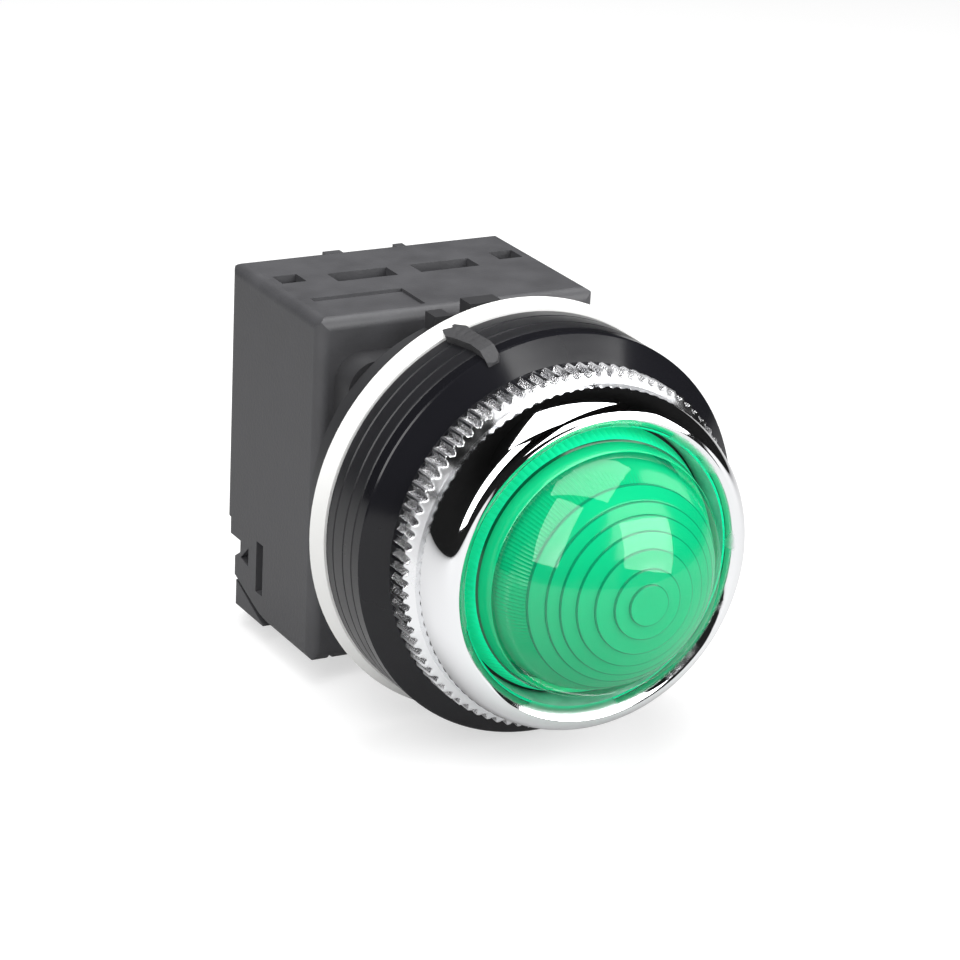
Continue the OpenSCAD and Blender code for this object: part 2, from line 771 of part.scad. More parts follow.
// Strip from the spring's seat to the board.
module live_strip() {
    strip_t = 0.3;
    color("goldenrod") {
        round_bar(chamber_r - 0.1, holder_rear - strip_t, spring_rear);
        block([-1.2, holder_rear - strip_t, live_z], [1.2, holder_rear - 0.02, 1.5]);
        block([-1.2, board_rear - 0.4, live_z], [1.2, holder_rear - 0.02, live_z + strip_t]);
    }
}

// Strip from the outside of the shell to the board.
module neutral_strip() {
    strip_t = 0.4;
    low = shell_r + 0.03;
    color("goldenrod") {
        block([-1.4, holder_rear - 0.4, low], [1.4, holder_front - 0.2, low + strip_t]);
        block([-1.4, holder_rear - 0.4, low], [1.4, holder_rear - 0.1, neutral_z + strip_t]);
        block([-1.4, board_rear - 0.4, neutral_z], [1.4, holder_rear - 0.1, neutral_z + strip_t]);
    }
}

// ---- dropper board and terminals ----

module driver_board() {
    color("darkgreen")
        difference() {
            block([-board_w / 2, board_rear, board_low], [board_w / 2, board_rear + board_t, board_high]);
            block([-1.4, board_rear - 1, live_z - 0.2], [1.4, board_rear + board_t + 1, live_z + 0.5]);
            block([-1.6, board_rear - 1, neutral_z - 0.2],
                  [1.6, board_rear + board_t + 1, neutral_z + 0.6]);
            for (s = [-1, 1])
                block([s * terminal_x - leg_w / 2 - 0.1, board_rear - 1, leg_z - 0.35],
                      [s * terminal_x + leg_w / 2 + 0.1, board_rear + board_t + 1, leg_z + 0.35]);
        }
}

// Two resistors side by side on the back of the board.
module dropper_resistors() {
    r = 1.5;
    color("peru")
        for (down = [2.1, 6.6])
            translate([0, -(board_rear - r - 0.2), board_high - down])
                rotate([0, 90, 0])
                    for (s = [-1, 1])
                        mirror([0, 0, s < 0 ? 1 : 0])
                            rotate_extrude($fn = 32)
                                polygon([[0, -tiny], [r * 0.85, -tiny], [r * 0.85, 2.6], [r, 3], [r, 4.2],
                                         [r * 0.6, 4.8], [0.35, 4.9], [0.35, 7], [0, 7]]);
}

module rectifier() {
    color([0.08, 0.08, 0.08])
        block([-4, board_rear - 2.6, board_low + 1.4], [4, board_rear, board_low + 3.6]);
}

// Plate under a terminal screw, with a leg that runs to the board.
module terminal_plate(side) {
    half = clamp_w / 2 + 0.3;
    x = side * terminal_x;
    color("goldenrod")
        difference() {
            union() {
                block([x - half, well_floor - plate_t, terminal_z - half],
                      [x + half, well_floor, terminal_z + half]);
                block([x - leg_w / 2, well_floor - plate_t, leg_z - 0.3],
                      [x + leg_w / 2, well_floor, terminal_z]);
                block([x - leg_w / 2, well_floor - plate_t, leg_z - 0.3],
                      [x + leg_w / 2, board_rear + board_t + 0.2, leg_z + 0.3]);
            }
            translate([x, 0, terminal_z])
                round_bar(screw_r + 0.05, well_floor - plate_t - 1, well_floor + 1);
        }
}

module clamp_plate(side) {
    half = clamp_w / 2;
    color("silver")
        translate([side * terminal_x, 0, terminal_z])
            difference() {
                block([-half, screw_seat, -half], [half, clamp_rear, half]);
                round_bar(screw_r + 0.15, screw_seat - 1, clamp_rear + 1);
            }
}

module terminal_screw(side) {
    head_rear = screw_seat - screw_head_h;
    screw_front = well_floor + cover_t + 1.2;
    color("lightgray")
        translate([side * terminal_x, 0, terminal_z])
            difference() {
                turned([
                    [0, head_rear], [screw_head_r - 0.7, head_rear], [screw_head_r, head_rear + 0.7],
                    [screw_head_r, screw_seat], [screw_r, screw_seat],
                    [screw_r, screw_front - 0.4], [screw_r - 0.4, screw_front], [0, screw_front]
                ]);
                for (a = [0, 90])
                    rotate([0, a, 0])
                        block([-1.7, head_rear - 1, -0.35], [1.7, head_rear + 1.1, 0.35]);
            }
}

lens();
lens_seal();
ring_nut();
front_washer();
packing_ring(packing_a_rear, packing_a_t);  // packing_ring_a
packing_ring(packing_b_rear, packing_b_t);  // packing_ring_b
packing_ring(packing_c_rear, packing_c_t);  // packing_ring_c
white_gasket();
locating_key();
operator_body();
housing();
rear_cover();
assembly_screws();
reflector();
lamp_base();
lamp_insulator();
lamp_tip();
lamp_board();
lamp_chips();
lamp_cap();
socket_shell();
socket_holder();
contact_plunger();
contact_spring();
live_strip();
neutral_strip();
driver_board();
dropper_resistors();
rectifier();
terminal_plate(-1);  // terminal_plate_a
terminal_plate(1);  // terminal_plate_b
clamp_plate(-1);  // clamp_plate_a
clamp_plate(1);  // clamp_plate_b
terminal_screw(-1);  // terminal_screw_a
terminal_screw(1);  // terminal_screw_b
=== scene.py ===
# %% [markdown]
# A panel pilot light, dressed for the camera. The solid model gives every piece its place. Here the
# pieces that catch the eye, the lens and the chrome nut, are modelled again with finer detail, and
# every other piece gets a finish like the real one's.

# %% Load the frame
import math

import bpy
import numpy as np
from mathutils import Matrix, Quaternion, Vector


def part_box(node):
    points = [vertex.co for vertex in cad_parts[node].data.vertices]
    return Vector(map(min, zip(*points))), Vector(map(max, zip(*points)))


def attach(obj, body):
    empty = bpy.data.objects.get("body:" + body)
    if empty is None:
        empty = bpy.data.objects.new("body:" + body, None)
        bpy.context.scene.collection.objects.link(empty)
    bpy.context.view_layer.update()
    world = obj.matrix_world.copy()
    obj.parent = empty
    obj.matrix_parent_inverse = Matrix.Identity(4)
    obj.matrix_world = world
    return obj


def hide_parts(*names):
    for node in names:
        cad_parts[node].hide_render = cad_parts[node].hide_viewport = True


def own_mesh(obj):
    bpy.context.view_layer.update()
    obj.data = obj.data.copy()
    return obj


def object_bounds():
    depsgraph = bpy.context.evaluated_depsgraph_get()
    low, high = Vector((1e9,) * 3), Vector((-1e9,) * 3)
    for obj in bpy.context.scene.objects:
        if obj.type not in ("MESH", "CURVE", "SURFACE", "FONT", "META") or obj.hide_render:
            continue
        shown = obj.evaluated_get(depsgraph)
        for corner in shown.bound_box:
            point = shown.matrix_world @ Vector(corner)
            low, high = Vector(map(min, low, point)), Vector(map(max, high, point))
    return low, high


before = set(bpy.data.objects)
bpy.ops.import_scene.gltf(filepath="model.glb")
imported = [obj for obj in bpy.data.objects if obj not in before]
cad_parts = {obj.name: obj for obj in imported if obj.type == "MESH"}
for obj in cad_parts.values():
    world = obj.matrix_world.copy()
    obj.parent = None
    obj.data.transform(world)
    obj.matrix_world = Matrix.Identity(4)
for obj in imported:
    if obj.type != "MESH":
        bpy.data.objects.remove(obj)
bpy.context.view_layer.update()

bpy.ops.object.select_all(action="DESELECT")

# %% [markdown]
# Sizes are written in millimetres, as on a drawing, and turned into metres where a tool needs them.
# A distance in front of the panel is called forward. Forward points along -Y.

# %% Drawing units
MM = 0.001


def point(radius, forward):
    """Place on the XY plane for a size drawn as radius and distance in front of the panel."""
    return Vector((radius * MM, -forward * MM, 0))


def reach(node):
    """Rear and front of a node, and its largest half width, in millimetres."""
    low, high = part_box(node)
    return -high[1] / MM, -low[1] / MM, high[0] / MM


for name in ("ring_nut", "lens", "front_washer"):
    print(name, [round(v, 2) for v in reach(name)])

# %% [markdown]
# A lens, a nut and a washer are all turned parts. By hand, one draws half of the section as a chain of
# points and spins it round the axis. The helper does the same: it starts from a small plane that is
# merged to one vertex, extrudes the chain from it, and spins the chain. Spin can turn a shape inside
# out, so doubles are merged and the normals recalculated afterwards. The other helpers find vertices
# and faces again by their place in the section, since a spin leaves them in no simple order.

# %% Turned pieces
def turned(name, profile, steps):
    bpy.ops.object.select_all(action="DESELECT")
    bpy.ops.mesh.primitive_plane_add(size=1 * MM, location=(0, 0, 0))
    piece = bpy.context.object
    piece.name = name
    bpy.ops.object.mode_set(mode="EDIT")
    bpy.ops.mesh.select_mode(type="VERT")
    bpy.ops.mesh.select_all(action="SELECT")
    bpy.ops.mesh.merge(type="CENTER")
    places = [point(*p) for p in profile]
    bpy.ops.transform.translate(value=places[0])
    for here, there in zip(places, places[1:]):
        bpy.ops.mesh.extrude_region_move(TRANSFORM_OT_translate={"value": there - here})
    bpy.ops.mesh.select_all(action="SELECT")
    bpy.ops.mesh.spin(steps=steps, angle=math.tau, center=(0, 0, 0), axis=(0, 1, 0))
    bpy.ops.mesh.select_all(action="SELECT")
    bpy.ops.mesh.remove_doubles(threshold=0.002 * MM)
    bpy.ops.mesh.normals_make_consistent(inside=False)
    bpy.ops.object.mode_set(mode="OBJECT")
    print(name, len(piece.data.vertices), "vertices")
    return piece


def cylinder_places(piece):
    """Radius, forward distance and angle of each vertex, in millimetres and turns."""
    co = np.empty(len(piece.data.vertices) * 3)
    piece.data.vertices.foreach_get("co", co)
    co = co.reshape(-1, 3) / MM
    return np.hypot(co[:, 0], co[:, 2]), -co[:, 1], (np.arctan2(co[:, 2], co[:, 0]) / math.tau) % 1.0


NEAR = 0.004  # how close to a row of the section a vertex has to lie to be on it


def at_row(radius, forward, row):
    """Marks the vertices that lie on this row of the section."""
    return (np.abs(radius - row[0]) < NEAR) & (np.abs(forward - row[1]) < NEAR)


def face_middles(piece):
    """Each face with its mean radius and its mean forward distance, in millimetres."""
    radius, forward, _ = cylinder_places(piece)
    for face in piece.data.polygons:
        spot = face.vertices[:]
        yield face, radius[spot,].mean(), forward[spot,].mean()


def pick(piece, chosen):
    """Selects these vertices and nothing else, then goes to edit mode."""
    mesh = piece.data
    mesh.polygons.foreach_set("select", np.zeros(len(mesh.polygons), bool))
    mesh.edges.foreach_set("select", np.zeros(len(mesh.edges), bool))
    mesh.vertices.foreach_set("select", chosen)
    bpy.context.view_layer.objects.active = piece
    bpy.ops.object.mode_set(mode="EDIT")
    bpy.ops.mesh.select_mode(type="VERT")


def pull_in(piece, chosen, share):
    """Scales the chosen vertices towards the lamp's axis."""
    pick(piece, chosen)
    bpy.ops.transform.resize(value=(share, 1, share), center_override=(0, 0, 0))
    bpy.ops.object.mode_set(mode="OBJECT")


def smooth(piece, angle):
    bpy.ops.object.select_all(action="DESELECT")
    piece.select_set(True)
    bpy.context.view_layer.objects.active = piece
    bpy.ops.object.shade_smooth_by_angle(angle=math.radians(angle))


# %% [markdown]
# The ring nut is one turned brass piece with a plated finish. Its collar is knurled: ninety-two leaf
# shaped grooves, sandblasted before plating, with thin bright ridges between them. The front edge
# flares inwards to a bore that clears the lens. An array of
# cutters would do it too, but pulling columns of vertices in towards the axis gives the same groove
# with clean faces, and it runs out on the chamfer in a pointed arch as a real cutter's does.

# %% Ring nut
nut_rear, nut_front, knurl_r = reach("ring_nut")
collar_length, chamfer_length = 3.4, 0.62
collar = nut_rear + collar_length
chamfer_rear = collar - chamfer_length
chamfer_r, chamfer_start = knurl_r - 0.04, chamfer_rear + 0.06
body_r, rim_r, lip_r, thread_r = 17.12, 15.42, 13.9, 14.88
lip_rear = reach("lens_seal")[0] + 0.3
grooves, columns = 92, 6

collar_rows = [(knurl_r - 0.22, nut_rear), (knurl_r - 0.05, nut_rear + 0.08), (knurl_r, nut_rear + 0.25)]
collar_rows += [(knurl_r, nut_rear + f) for f in (0.8, 1.6, 2.4)]
collar_rows += [(knurl_r, chamfer_rear), (chamfer_r, chamfer_start)]
collar_rows += [(chamfer_r - 0.9 * t, chamfer_start + 0.53 * t) for t in (0.15, 0.3, 0.45, 0.6, 0.8, 1.0)]
body_rows = [(body_r + 0.02, collar + 0.06), (body_r - 0.02, collar + 0.2), (body_r, collar + 0.6)]
crest_r, round_rear, round_front, round_steps = rim_r - 0.12, collar + 1.1, nut_front - 0.07, 14
for i in range(round_steps + 1):
    turn = math.radians(90 * i / round_steps)
    body_rows.append((crest_r + (body_r - crest_r) * math.cos(turn),
                      round_rear + (round_front - round_rear) * math.sin(turn)))
rim_rows = [(rim_r - 0.24, nut_front - 0.02), (rim_r - 0.48, nut_front - 0.1),
            (rim_r - 0.74, nut_front - 0.25), (rim_r - 1.0, nut_front - 0.48),
            (rim_r - 1.22, nut_front - 0.78), (rim_r - 1.36, nut_front - 1.15)]
inside_rows = [(14.0, nut_front - 1.7), (13.97, nut_front - 2.4), (13.94, lip_rear + 0.9),
               (lip_r, lip_rear + 0.6), (lip_r, lip_rear + 0.05), (lip_r + 0.05, lip_rear),
               (thread_r, lip_rear), (thread_r, nut_rear + 0.3), (15.05, nut_rear), (knurl_r - 0.22, nut_rear)]
nut = turned("plated_nut", collar_rows + body_rows + rim_rows + inside_rows, grooves * columns)

radius, forward, angle = cylinder_places(nut)
column = np.round(angle * grooves * columns).astype(int) % columns
for depth, places in ((0.14, (1, 5)), (0.46, (2, 4)), (0.58, (3,))):
    floor_r = knurl_r - depth
    for row in collar_rows:
        if row[0] > floor_r + 0.01:
            pull_in(nut, at_row(radius, forward, row) & np.isin(column, places), floor_r / row[0])
smooth(nut, 32)
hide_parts("ring_nut")
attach(nut, "nut")

# %% [markdown]
# The lens is moulded in clear green plastic. Outside it has a ribbed shoulder, a fine groove, a low
# band and the dome. Inside, the wall is fluted all round so that the light spreads, and the top is cut
# into terraces, which show as rings. The terraces are drawn close under the dome's skin, where the
# plastic makes them appear. Flutes and ribs are made as the grooves of the nut are, by pulling every
# second or third column of their rows.

# %% Lens
lens_rear, lens_front, flange_r = reach("lens")
skirt_length = 7
foot = lens_rear + skirt_length
dome_r, skirt_r, bore_r = 13.0, 12.5, 11.4
centre = lens_front - dome_r
groove_rear, dome_foot = foot + 2.94, foot + 5.04
flutes, flute_depth, rib_depth = 180, 0.2, 0.1
dome_steps = 26


def dome_at(r, size=dome_r):
    return centre + math.sqrt(size * size - r * r)


skirt_rows = [(bore_r, lens_rear), (skirt_r - 0.1, lens_rear), (skirt_r, lens_rear + 0.1),
              (skirt_r, foot - 0.05), (skirt_r + 0.05, foot), (flange_r - 0.08, foot),
              (flange_r, foot + 0.08), (flange_r, foot + 0.32), (flange_r - 0.05, foot + 0.42)]
ribbed = [(13.4, foot + 0.95), (13.16, foot + 1.75), (12.9, foot + 2.7)]
groove_rows = [(12.84, foot + 2.92), (12.74, foot + 3.0), (12.62, foot + 3.08), (12.62, foot + 3.15)]
band_rows = [(12.7, foot + 3.22), (12.66, foot + 3.6), (12.54, foot + 4.2), (12.36, foot + 4.9),
             (12.28, foot + 5.02), (12.2, foot + 5.08)]
dome_start = math.asin(12.12 / dome_r)
dome_turns = [dome_start * (1 - i / dome_steps) for i in range(dome_steps)]
dome_rows = [(dome_r * math.sin(turn), centre + dome_r * math.cos(turn)) for turn in dome_turns]
outside = skirt_rows + ribbed + groove_rows + band_rows + dome_rows + [(0, lens_front)]

terraces = [2.05, 3.5, 5.2, 6.7, 7.95, 8.95, 10.15]
inner_dome = 12.55
inner_top = dome_at(0, inner_dome)
inside = [(0, inner_top - 0.32), (1.0, inner_top - 0.28), (1.6, inner_top - 0.2)]
for i, r in enumerate(terraces):
    if i:
        inside.append((terraces[i - 1] + 0.12, dome_at(terraces[i - 1], inner_dome) - 0.38))
    edge = dome_at(r, inner_dome) - 0.06
    inside += [(r - 0.08, edge + 0.02), (r, edge - 0.04), (r + 0.02, edge - 0.28)]
wall_top = inside[-1][1] - 0.1
fluted = [(10.2, wall_top), (10.75, wall_top - 0.8), (11.15, wall_top - 1.6), (11.45, wall_top - 2.5),
          (11.68, wall_top - 3.4), (11.8, foot + 1.6), (11.85, foot + 0.4)]
inside += fluted + [(bore_r, foot - 1.0), (bore_r, lens_rear + 0.05), (bore_r, lens_rear)]
lens = turned("moulded_lens", outside + inside, flutes * 2)

radius, forward, angle = cylinder_places(lens)
column = np.round(angle * flutes * 2).astype(int)
for rows, every, depth in ((fluted, 2, flute_depth), (ribbed, 3, rib_depth)):
    for row in rows:
        pull_in(lens, at_row(radius, forward, row) & (column % every == 1), (row[0] - depth) / row[0])
smooth(lens, 24)
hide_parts("lens")
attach(lens, "lens")

# %% [markdown]
# The lamp presses on a small coil spring. A circle wound along the axis makes the coil, with its turns
# spread evenly over the length of the solid model's spring.

# %% Contact spring
low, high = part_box("contact_spring")
seat_y, wire_r, turns, travel = 11 * MM, 0.225 * MM, 4, 1.2 * MM
bpy.ops.object.select_all(action="DESELECT")
bpy.ops.mesh.primitive_circle_add(vertices=12, radius=wire_r, location=(0, 0, 0))
spring = bpy.context.object
spring.name = "wound_spring"
bpy.ops.object.mode_set(mode="EDIT")
bpy.ops.mesh.select_all(action="SELECT")
bpy.ops.transform.translate(value=(high[0] - wire_r, low[1] + wire_r, 0))
bpy.ops.object.mode_set(mode="OBJECT")
bpy.ops.object.modifier_add(type="SCREW")
wind = spring.modifiers[-1]
wind.axis, wind.iterations = "Y", turns
wind.steps = wind.render_steps = 40
wind.screw_offset = (high[1] - low[1] - 2 * wire_r) / turns
bpy.ops.object.modifier_apply(modifier=wind.name)
bpy.ops.object.mode_set(mode="EDIT")
bpy.ops.mesh.select_all(action="SELECT")
bpy.ops.mesh.fill_holes(sides=0)
bpy.ops.mesh.normals_make_consistent(inside=False)
bpy.ops.object.mode_set(mode="OBJECT")
smooth(spring, 40)
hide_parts("contact_spring")
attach(spring, "frame")
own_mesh(spring)
print("spring", len(spring.data.vertices), "vertices, Y", [round(y / MM, 2) for y in (low[1], high[1])])

# %% [markdown]
# Every finish is mixed from a few nodes. A moulded plastic has a fine grain that only shows in its
# gloss, and a faint change of colour over the piece. The helper builds that pattern on Object
# coordinates, so that it stays on the piece, and each finish sets its own numbers.

# %% Finish helper
def finish(name, colour, rough, metal=0.0, spread=0.06, grain=900.0, bump=0.02, rough_spread=0.08, **sockets):
    made = bpy.data.materials.new(name)
    made.use_nodes = True
    nodes, links = made.node_tree.nodes, made.node_tree.links
    shader = nodes["Principled BSDF"]
    shader.inputs["Metallic"].default_value = metal
    for socket, value in sockets.items():
        shader.inputs[socket.replace("_", " ")].default_value = value
    place = nodes.new("ShaderNodeTexCoord")
    fine = nodes.new("ShaderNodeTexNoise")
    fine.inputs["Scale"].default_value = grain
    fine.inputs["Detail"].default_value = 4
    broad = nodes.new("ShaderNodeTexNoise")
    broad.inputs["Scale"].default_value = grain / 12
    broad.inputs["Detail"].default_value = 3
    tint = nodes.new("ShaderNodeValToRGB")
    tint.color_ramp.elements[0].position = 0.3
    tint.color_ramp.elements[1].position = 0.7
    tint.color_ramp.elements[0].color = [c * (1 - spread) for c in colour] + [1]
    tint.color_ramp.elements[1].color = [min(1, c * (1 + spread)) for c in colour] + [1]
    gloss = nodes.new("ShaderNodeMapRange")
    gloss.inputs["To Min"].default_value = max(0.0, rough - rough_spread)
    gloss.inputs["To Max"].default_value = min(1.0, rough + rough_spread)
    relief = nodes.new("ShaderNodeBump")
    relief.inputs["Strength"].default_value = 1.0
    relief.inputs["Distance"].default_value = bump * MM
    links.new(place.outputs["Object"], fine.inputs["Vector"])
    links.new(place.outputs["Object"], broad.inputs["Vector"])
    links.new(broad.outputs["Fac"], tint.inputs["Fac"])
    links.new(tint.outputs["Color"], shader.inputs["Base Color"])
    links.new(broad.outputs["Fac"], gloss.inputs["Value"])
    links.new(gloss.outputs["Result"], shader.inputs["Roughness"])
    links.new(fine.outputs["Fac"], relief.inputs["Height"])
    links.new(relief.outputs["Normal"], shader.inputs["Normal"])
    return made


def dress(made, *names):
    for name in names:
        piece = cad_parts.get(name) or bpy.data.objects[name]
        piece.data.materials.clear()
        piece.data.materials.append(made)


# %% [markdown]
# The box is moulded in a filled plastic with a fine matt texture, a dark warm grey where light falls on
# it. The rings are a smoother, semi-gloss black, and the front washer is polished.

# %% Plastics and rubber
box_black = finish("matt_box_plastic", (0.058, 0.058, 0.062), 0.5, grain=3200, bump=0.03, spread=0.12)
body_black = finish("neck_plastic", (0.03, 0.03, 0.032), 0.45, grain=2000, bump=0.008)
ring_black = finish("packing_ring_black", (0.014, 0.014, 0.016), 0.3, grain=1400, bump=0.005, rough_spread=0.08,
                    Specular_IOR_Level=0.35)
washer_black = finish("washer_black", (0.008, 0.008, 0.01), 0.14, grain=900, bump=0.002, rough_spread=0.04,
                      Specular_IOR_Level=0.3)
gasket_white = finish("white_gasket_rubber", (0.8, 0.8, 0.785), 0.6, grain=900, bump=0.008, spread=0.03)
key_grey = finish("torn_key_plastic", (0.03, 0.03, 0.032), 0.6, grain=1600, bump=0.09, spread=0.3)
seal_pale = finish("pale_seal_rubber", (0.62, 0.63, 0.6), 0.6, grain=1500, bump=0.01)
dress(box_black, "housing", "rear_cover")
dress(body_black, "operator_body")
dress(ring_black, "packing_ring_a", "packing_ring_b", "packing_ring_c")
dress(washer_black, "front_washer")
dress(gasket_white, "white_gasket")
dress(key_grey, "locating_key")
dress(seal_pale, "lens_seal")

# %% [markdown]
# Inside sit the lamp, its holder and the small board that drops the mains voltage. They show through
# the lens and from behind, so each has its own plain finish.

# %% Inner pieces
dress(finish("reflector_white", (0.8, 0.82, 0.8), 0.25, grain=500, bump=0.004, spread=0.02), "reflector")
dress(finish("nickel_plate", (0.7, 0.68, 0.64), 0.28, metal=1.0, grain=1200, bump=0.004),
      "lamp_base", "lamp_tip")
dress(finish("black_glass", (0.02, 0.02, 0.025), 0.15, grain=500, bump=0.002), "lamp_insulator")
dress(finish("board_green", (0.02, 0.16, 0.08), 0.35, grain=2400, bump=0.01), "lamp_board", "driver_board")
dress(finish("chip_yellow", (0.75, 0.6, 0.15), 0.35, grain=1500, bump=0.004), "lamp_chips")
dress(finish("contact_brass", (0.78, 0.58, 0.28), 0.3, metal=1.0, grain=1100, bump=0.006),
      "socket_shell", "contact_plunger", "live_strip", "neutral_strip", "terminal_plate_a", "terminal_plate_b")
dress(finish("holder_brown", (0.1, 0.065, 0.045), 0.4, grain=1500, bump=0.01), "socket_holder")
dress(finish("resistor_tan", (0.5, 0.36, 0.2), 0.4, grain=1400, bump=0.01), "dropper_resistors")
dress(finish("package_black", (0.02, 0.02, 0.02), 0.5, grain=2400, bump=0.008), "rectifier")
dress(finish("zinc_plate", (0.66, 0.67, 0.68), 0.32, metal=1.0, grain=1000, bump=0.008),
      "assembly_screws", "contact_spring", "wound_spring", "clamp_plate_a", "clamp_plate_b",
      "terminal_screw_a", "terminal_screw_b")
cap_clear = finish("clear_cap", (0.95, 0.98, 0.96), 0.05, grain=400, bump=0.001, spread=0.0, rough_spread=0.02,
                   Transmission_Weight=1.0, IOR=1.49)
dress(cap_clear, "lamp_cap")

# %% [markdown]
# Chrome has almost no colour of its own and shows what stands round it. The grooves of the collar are
# dull and grainy, because they were blasted before the plating, so their faces carry a second material.
# Beside the collar the blast has grazed the smooth body too: that zone is found from the distance along
# the axis. The flare inside the rim, which nobody polishes, has dull patches, found from the distance to
# the axis. The bore behind it is satin and has a material of its own too.

# %% Chrome
def math_node(tree, kind, a, b):
    made = tree.nodes.new("ShaderNodeMath")
    made.operation = kind
    for socket, value in zip(made.inputs, (a, b)):
        if isinstance(value, (int, float)):
            socket.default_value = value
        else:
            tree.links.new(value, socket)
    return made.outputs[0]


def ramp(tree, value, start, stop, low=0.0, high=1.0):
    """Maps a value that runs from start to stop onto low to high."""
    made = tree.nodes.new("ShaderNodeMapRange")
    for socket, number in zip(("From Min", "From Max", "To Min", "To Max"), (start, stop, low, high)):
        made.inputs[socket].default_value = number
    tree.links.new(value, made.inputs["Value"])
    return made.outputs["Result"]


chrome = finish("bright_chrome", (0.86, 0.865, 0.88), 0.04, metal=1.0, grain=260, bump=0.001, spread=0.01,
                rough_spread=0.02)
tree = chrome.node_tree
nodes, links = tree.nodes, tree.links
shader = nodes["Principled BSDF"]
place = nodes.new("ShaderNodeTexCoord")
split = nodes.new("ShaderNodeSeparateXYZ")
links.new(place.outputs["Object"], split.inputs["Vector"])
squared = math_node(tree, "ADD", math_node(tree, "MULTIPLY", split.outputs["X"], split.outputs["X"]),
                    math_node(tree, "MULTIPLY", split.outputs["Z"], split.outputs["Z"]))
from_axis = math_node(tree, "SQRT", squared, 0)
grain = nodes.new("ShaderNodeTexNoise")
grain.inputs["Scale"].default_value = 6000
grain.inputs["Detail"].default_value = 2
links.new(place.outputs["Object"], grain.inputs["Vector"])
patches = nodes.new("ShaderNodeTexNoise")
patches.inputs["Scale"].default_value = 240
links.new(place.outputs["Object"], patches.inputs["Vector"])
beside = ramp(tree, split.outputs["Y"], -(collar + 1.3) * MM, -(collar + 0.15) * MM)
grazed = math_node(tree, "MULTIPLY", beside, ramp(tree, patches.outputs["Fac"], 0.35, 0.6))
funnel = math_node(tree, "MULTIPLY", ramp(tree, from_axis, 15.1 * MM, 14.7 * MM),
                   ramp(tree, patches.outputs["Fac"], 0.46, 0.56))
dull = math_node(tree, "MAXIMUM", grazed, funnel)
plain = shader.inputs["Roughness"].links[0].from_socket
links.new(math_node(tree, "ADD", plain, math_node(tree, "MULTIPLY", dull, 0.34)), shader.inputs["Roughness"])
grit = nodes.new("ShaderNodeBump")
grit.inputs["Distance"].default_value = 0.02 * MM
links.new(math_node(tree, "MULTIPLY", grain.outputs["Fac"], dull), grit.inputs["Height"])
links.new(shader.inputs["Normal"].links[0].from_socket, grit.inputs["Normal"])
links.new(grit.outputs["Normal"], shader.inputs["Normal"])
blasted = finish("blasted_chrome", (0.66, 0.66, 0.69), 0.24, metal=1.0, grain=5200, bump=0.2, spread=0.5,
                 rough_spread=0.1)
satin = finish("satin_bore", (0.5, 0.5, 0.52), 0.42, metal=0.35, grain=5200, bump=0.05, spread=0.2)
dress(chrome, "plated_nut")
nut.data.materials.append(blasted)
nut.data.materials.append(satin)

BRIGHT, BLASTED, BORE = range(3)
groove_floor_r, bore_limit_r = 17.3, lip_r + 0.14
for face, mid_r, mid_f in face_middles(nut):
    plain_r = knurl_r if mid_f < chamfer_start else chamfer_r - 1.7 * (mid_f - chamfer_start)
    in_groove = nut_rear + 0.05 < mid_f < collar and groove_floor_r < mid_r < plain_r - 0.12
    face.material_index = BLASTED if in_groove else BORE if mid_r < bore_limit_r else BRIGHT
print("blasted faces", sum(face.material_index == BLASTED for face in nut.data.polygons))

# %% [markdown]
# The lens wears four greens. The dome's skin is a clear gloss that lets the inside be seen. The inner
# wall is milky, so that the dome stays green where it is dark inside. The steps between the terraces and
# the groove carry a painted shade, a deep green that draws them as dark lines. The shoulder is painted
# lighter and given a faint painted glow, an emission that lifts it out of the shade of the nut.

# %% Green lens
fine_grain = {"grain": 1500, "bump": 0.002, "spread": 0.03, "rough_spread": 0.05, "IOR": 1.46}
green = finish("clear_green", (0.006, 0.6, 0.27), 0.02, grain=200, bump=0.0003, spread=0.01,
               rough_spread=0.012, Alpha=0.24, IOR=2.0)
inner_green = finish("milky_green", (0.004, 0.5, 0.2), 0.15, Alpha=0.88, **fine_grain)
# Painted shade: a deep green that draws the groove and the terrace steps as dark lines.
painted_shade_green = finish("painted_shade_green", (0.001, 0.12, 0.05), 0.15, **fine_grain)
# Painted light: the shoulder's green is lighter and has a faint emission, a painted glow that lifts it out of
# the nut's shade.
painted_glow_green = finish("painted_glow_green", (0.006, 0.85, 0.42), 0.1, Emission_Color=(0.01, 0.8, 0.36, 1),
                    Emission_Strength=0.35, **fine_grain)
dress(green, "moulded_lens")
for made in (inner_green, painted_shade_green, painted_glow_green):
    lens.data.materials.append(made)

CLEAR, MILKY, PAINTED_SHADE, PAINTED_GLOW = range(4)
groove_front, groove_limit_r, shoulder_limit_r = foot + 3.2, 12.5, 12.8
for face, mid_r, mid_f in face_middles(lens):
    skin = math.hypot(mid_r, mid_f - centre) > dome_r - 0.2
    riser = any(r - 0.09 < mid_r < r + 0.03 for r in terraces) and mid_f > foot + 5
    groove = groove_rear < mid_f < groove_front and mid_r > groove_limit_r
    if skin and mid_f > dome_foot:
        face.material_index = CLEAR
    # The groove and the steps between the terraces take the painted shade.
    elif riser or groove:
        face.material_index = PAINTED_SHADE
    else:
        # The shoulder takes the painted glow.
        face.material_index = PAINTED_GLOW if mid_r > shoulder_limit_r and mid_f < groove_rear else MILKY
print("clear faces", sum(face.material_index == CLEAR for face in lens.data.polygons))

# %% [markdown]
# The camera stands in front of the panel, to the left and above, and looks almost along the lamp's
# axis. It is tipped a little to one side. A long lens keeps the dome from looking too big.

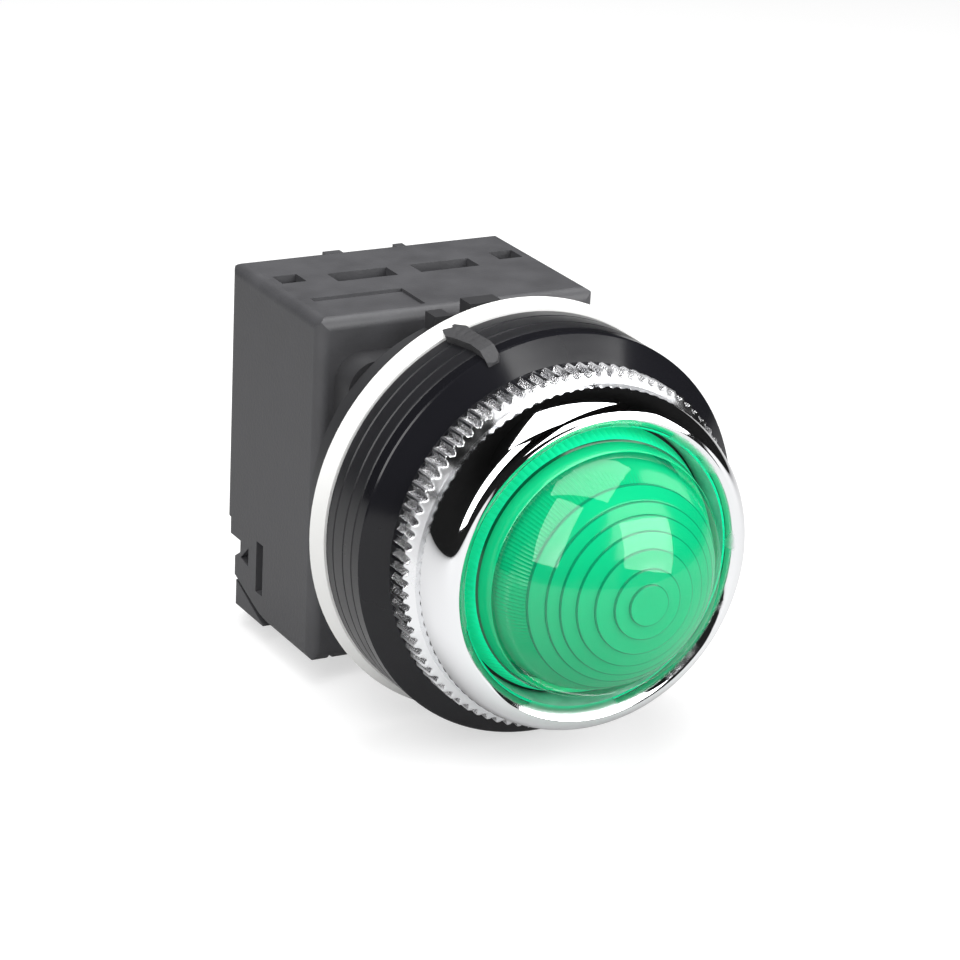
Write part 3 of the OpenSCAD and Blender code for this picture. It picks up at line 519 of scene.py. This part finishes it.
# %% Camera
yaw, pitch, roll = (math.radians(d) for d in (-28.87, 20.32, 2.69))
right = Vector((math.cos(yaw), math.sin(yaw), 0))
back = Vector((math.sin(yaw) * math.cos(pitch), -math.cos(yaw) * math.cos(pitch), math.sin(pitch)))
up = back.cross(right)
side = right * math.cos(roll) + up * math.sin(roll)
top = up * math.cos(roll) - right * math.sin(roll)
bpy.ops.object.camera_add()
camera = bpy.context.object
camera.matrix_world = Matrix((side, top, back)).transposed().to_4x4()
camera.location = (-0.166722, -0.30194, 0.128594)
camera.data.sensor_width = 36
camera.data.lens = 138.4
camera.data.clip_start = 0.01
bpy.context.scene.camera = camera
print("camera", [round(v, 4) for v in camera.location])

# %% [markdown]
# Gloss black and chrome are only as good as what they reflect. So the object stands in a round black
# tent on a white floor: the tent gives the nut its black bands, the floor its white ones, and three
# large soft boxes inside the tent give the window-shaped highlights on the dome. The tent is hidden
# from the camera, which sees the white room behind it.

# %% Room
world = bpy.data.worlds.new("studio")
bpy.context.scene.world = world
world.use_nodes = True
nodes, links = world.node_tree.nodes, world.node_tree.links
air = nodes["Background"]
path = nodes.new("ShaderNodeLightPath")
tree = world.node_tree
seen = math_node(tree, "MAXIMUM", path.outputs["Is Camera Ray"],
                 math_node(tree, "MAXIMUM", path.outputs["Is Glossy Ray"], path.outputs["Is Transmission Ray"]))
links.new(ramp(tree, seen, 0, 1, 0.55, 1.0), air.inputs["Strength"])
air.inputs["Color"].default_value = (1, 1, 1, 1)


# %% Soft boxes
def soft_box(name, place, size, power, turn=0, aim=(0, -0.02, 0)):
    bpy.ops.object.light_add(type="AREA", location=place)
    lamp = bpy.context.object
    lamp.name = name
    lamp.data.shape = "RECTANGLE"
    lamp.data.size, lamp.data.size_y = size
    lamp.data.energy = power
    facing = (Vector(aim) - Vector(place)).to_track_quat("-Z", "Y")
    lamp.rotation_euler = (facing @ Quaternion((0, 0, 1), math.radians(turn))).to_euler()
    lamp.visible_camera = False
    return lamp


soft_box("top_box", (0.02, 0.04, 0.42), (0.36, 0.36), 2.4, turn=-24)
soft_box("left_box", (-0.27, -0.155, 0.25), (0.17, 0.4), 1.4)
soft_box("right_box", (0.19, -0.33, 0.17), (0.34, 0.28), 1.9, turn=-20)

# %% Black tent
floor_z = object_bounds()[0][2]
bpy.ops.object.select_all(action="DESELECT")
bpy.ops.mesh.primitive_cylinder_add(vertices=64, radius=0.5, depth=0.6, location=(0, 0, floor_z + 0.302))
tent = bpy.context.object
tent.name = "black_tent"
bpy.ops.object.mode_set(mode="EDIT")
bpy.ops.mesh.select_mode(type="FACE")
bpy.ops.mesh.select_all(action="DESELECT")
bpy.ops.object.mode_set(mode="OBJECT")
for face in tent.data.polygons:
    face.select = face.normal.z < -0.9
bpy.ops.object.mode_set(mode="EDIT")
bpy.ops.mesh.delete(type="FACE")
bpy.ops.object.mode_set(mode="OBJECT")
bpy.ops.object.transform_apply(location=True)
black_cloth = bpy.data.materials.new("black_cloth")
black_cloth.use_nodes = True
black_cloth.node_tree.nodes["Principled BSDF"].inputs["Base Color"].default_value = (0.004, 0.004, 0.004, 1)
black_cloth.node_tree.nodes["Principled BSDF"].inputs["Roughness"].default_value = 1.0
tent.data.materials.append(black_cloth)
tent.visible_camera = False

# %% Floor
bpy.ops.mesh.primitive_plane_add(size=4, location=(0, 0, floor_z))
floor = bpy.context.object
floor.name = "floor"
bpy.ops.object.transform_apply(location=True)
white_floor = bpy.data.materials.new("pale_floor")
white_floor.use_nodes = True
nodes, links = white_floor.node_tree.nodes, white_floor.node_tree.links
shader = nodes["Principled BSDF"]
shader.inputs["Base Color"].default_value = (0.45, 0.45, 0.45, 1)
shader.inputs["Roughness"].default_value = 0.9
shader.inputs["Emission Color"].default_value = (1, 1, 1, 1)
path = nodes.new("ShaderNodeLightPath")
tree = white_floor.node_tree
glow = math_node(tree, "ADD", math_node(tree, "MULTIPLY", path.outputs["Is Camera Ray"], 0.6),
                 math_node(tree, "MULTIPLY", path.outputs["Is Glossy Ray"], 0.1))
links.new(glow, shader.inputs["Emission Strength"])
floor.data.materials.append(white_floor)

# %% Finish
bpy.context.scene.view_settings.view_transform = "Standard"
